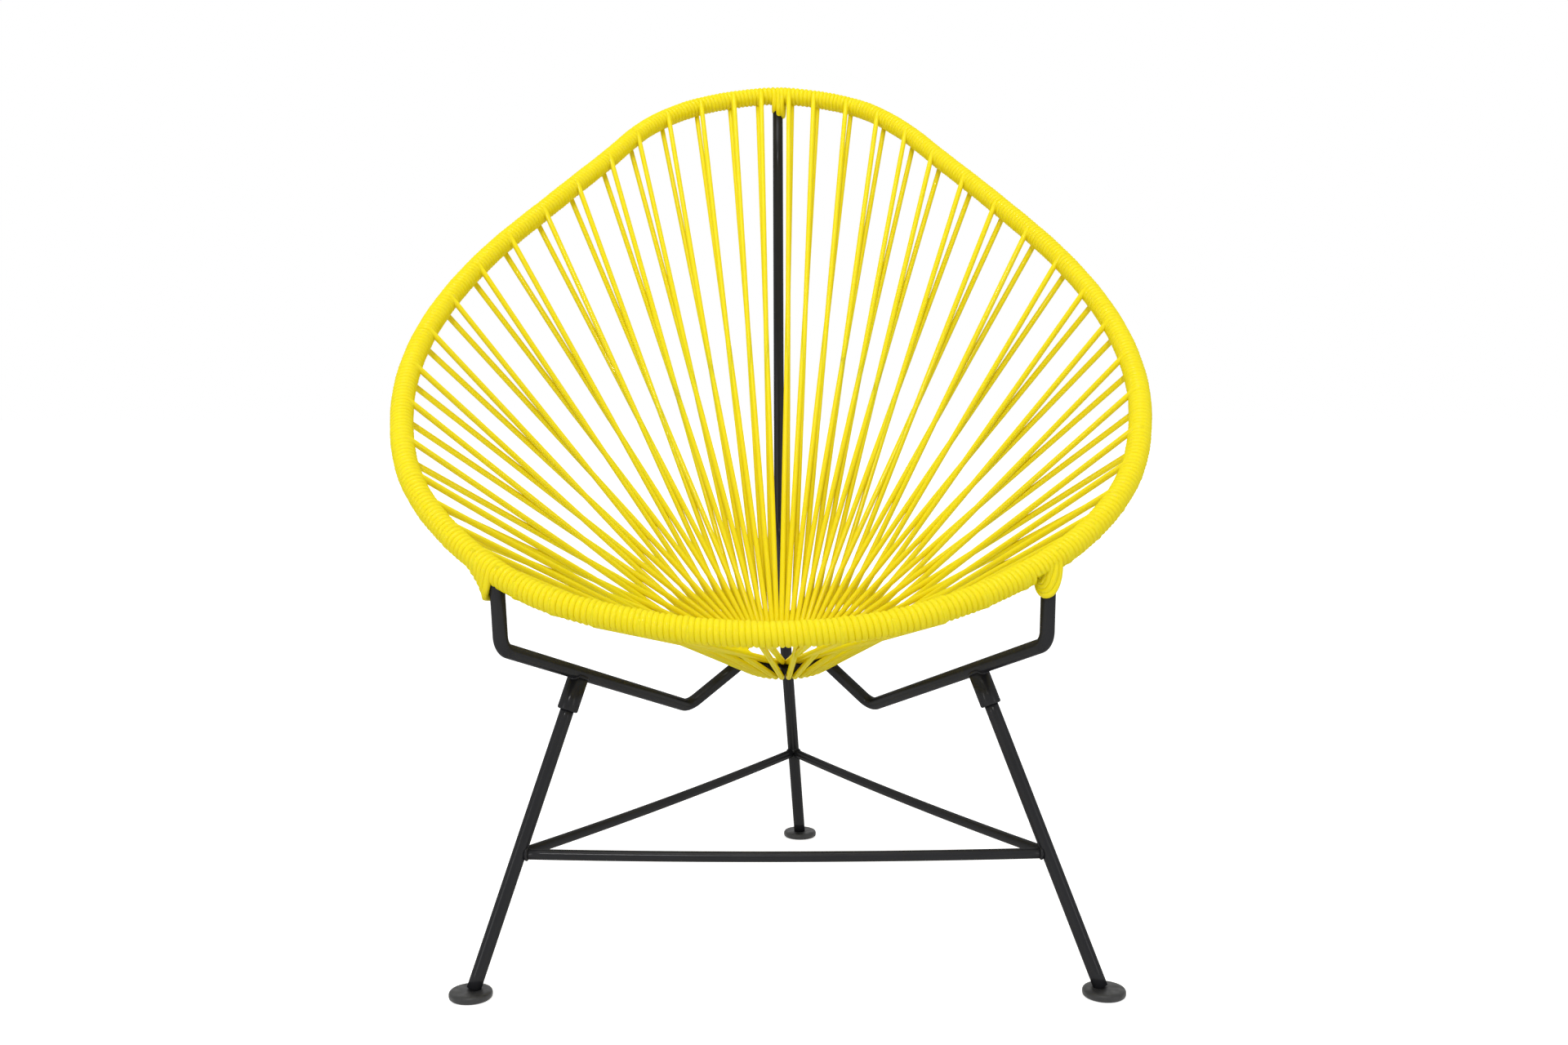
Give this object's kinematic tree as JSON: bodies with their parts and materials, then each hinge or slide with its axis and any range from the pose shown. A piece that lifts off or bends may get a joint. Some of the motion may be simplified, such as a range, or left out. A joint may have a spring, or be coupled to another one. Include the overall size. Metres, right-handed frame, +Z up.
{
  "type": "lounge chair",
  "caption": "Pear-shaped bucket lounge chair of plastic cord strung between a rim hoop and a small seat ring, on a black rod frame with a three-legged base.",
  "frame": {"origin": "on the floor, below the middle of the rim", "axes": "+Z up, +Y towards the high back of the seat, the sitter faces -Y, left arm at -X"},
  "size_m": [0.726, 0.7939, 0.9145],
  "materials": {
    "frame_black": "satin black powder coat on steel rod",
    "foot_black": "moulded black plastic",
    "cord_yellow": "semi-gloss lemon yellow vinyl cord"
  },
  "bodies": {
    "root": {"rim_hoop": "frame_black", "seat_ring": "frame_black", "front_left_arm": "frame_black", "front_right_arm": "frame_black", "rear_spine": "frame_black", "front_left_socket": "frame_black", "front_right_socket": "frame_black", "rear_socket": "frame_black", "front_left_leg": "frame_black", "front_right_leg": "frame_black", "rear_leg": "frame_black", "front_left_foot": "foot_black", "front_right_foot": "foot_black", "rear_foot": "foot_black", "front_stretcher": "frame_black", "left_stretcher": "frame_black", "right_stretcher": "frame_black", "rear_lashing": "cord_yellow", "left_rim_winding": "cord_yellow", "front_left_lashing": "cord_yellow", "front_rim_winding": "cord_yellow", "front_right_lashing": "cord_yellow", "right_rim_winding": "cord_yellow", "seat_cords_left_1": "cord_yellow", "seat_cords_left_2": "cord_yellow", "seat_cords_left_3": "cord_yellow", "seat_cords_left_4": "cord_yellow", "seat_cords_left_5": "cord_yellow", "seat_cords_right_1": "cord_yellow", "seat_cords_right_2": "cord_yellow", "seat_cords_right_3": "cord_yellow", "seat_cords_right_4": "cord_yellow", "seat_cords_right_5": "cord_yellow", "seat_cords_middle": "cord_yellow"}
  },
  "joints": []
}
